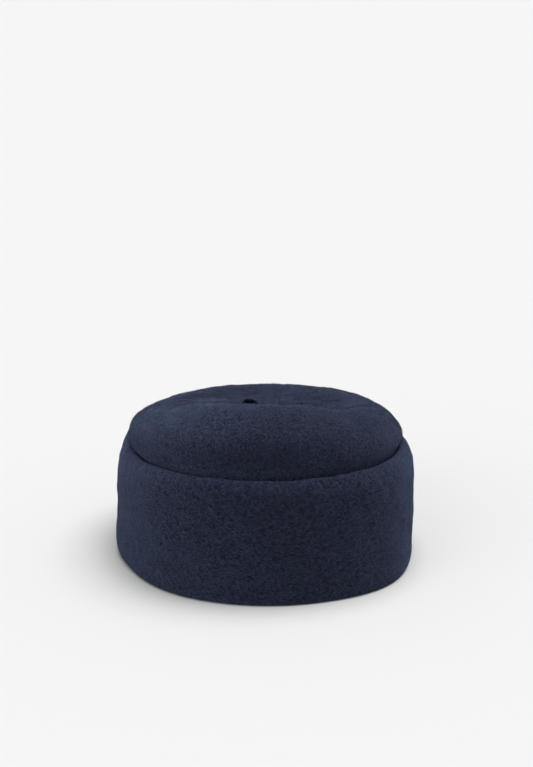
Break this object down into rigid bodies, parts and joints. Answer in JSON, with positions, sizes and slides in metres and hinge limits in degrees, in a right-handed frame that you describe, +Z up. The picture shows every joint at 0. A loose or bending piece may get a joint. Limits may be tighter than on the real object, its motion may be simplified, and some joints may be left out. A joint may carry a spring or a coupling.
{
  "type": "felt hat",
  "caption": "Soft wool felt hat: a tall turned-up cuff round an oval hem, and a bulging crown that slopes to the back, sunken in the middle with a fold and a short stub.",
  "frame": {"origin": "on the surface that the hem rests on, under the middle of the hat", "axes": "+Z up through the crown, -Y the hat's front (its higher side), +X to the right as seen from the front, the oval's long way along Y"},
  "size_m": [0.1912, 0.2092, 0.1141],
  "materials": {
    "cuff_felt": "matt brushed wool felt",
    "crown_felt": "matt brushed wool felt",
    "stub_felt": "matt brushed wool felt"
  },
  "bodies": {
    "root": {"cuff": "cuff_felt", "crown": "crown_felt", "stub": "stub_felt"}
  },
  "joints": []
}
